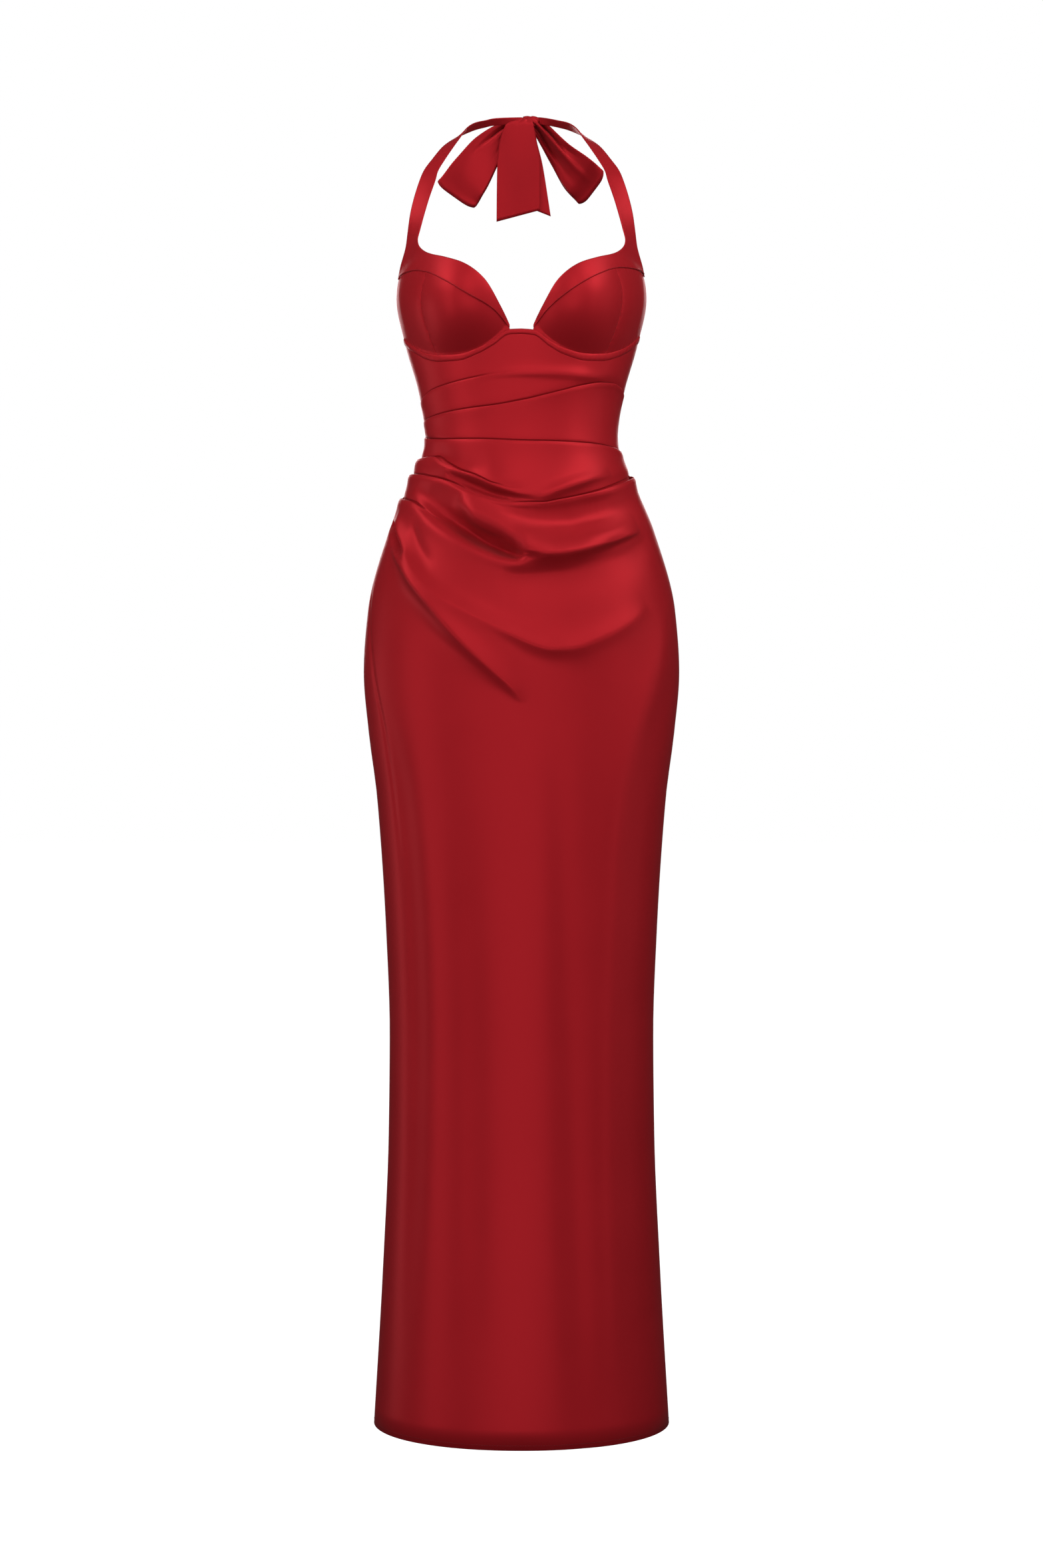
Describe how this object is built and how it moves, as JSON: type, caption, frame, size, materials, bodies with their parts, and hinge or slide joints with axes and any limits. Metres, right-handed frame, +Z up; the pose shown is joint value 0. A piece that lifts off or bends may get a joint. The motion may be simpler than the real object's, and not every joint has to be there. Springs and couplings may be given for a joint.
{
  "type": "halter maxi dress",
  "caption": "Floor-length red satin halter dress with underwired cups, a pleated drape across waist and hip, and a bow tied at the nape, in its worn, hollow form.",
  "frame": {"origin": "nape: the neck side of the tied knot, at the middle of the back of the neck, where the dress hangs on its wearer", "axes": "+Z up along the body, -Y the way the front faces, +X to the wearer's left"},
  "size_m": [0.3686, 0.2541, 1.5473],
  "materials": {
    "satin": "red satin weave with a soft broad sheen",
    "zip_metal": "enamelled to match the cloth, semi-gloss"
  },
  "bodies": {
    "dress": {"front_panel": "satin", "back_panel_right": "satin", "back_panel_left": "satin", "cup_centre_right": "satin", "cup_centre_left": "satin", "cup_side_right": "satin", "cup_side_left": "satin", "underwire_casing": "satin", "halter_band_right": "satin", "halter_band_left": "satin", "tie_knot": "satin", "bow_loop_right": "satin", "bow_loop_left": "satin", "tie_end_front": "satin", "tie_end_back": "satin", "zip_slider": "zip_metal"},
    "pull_tab": {"zip_pull": "zip_metal"}
  },
  "joints": [
    {"name": "pull_tab_hinge", "type": "hinge", "parent": "dress", "child": "pull_tab", "pos_m": [0, 0.0249, -0.304], "axis": [1, 0, 0], "range_deg": [0, 170]}
  ]
}
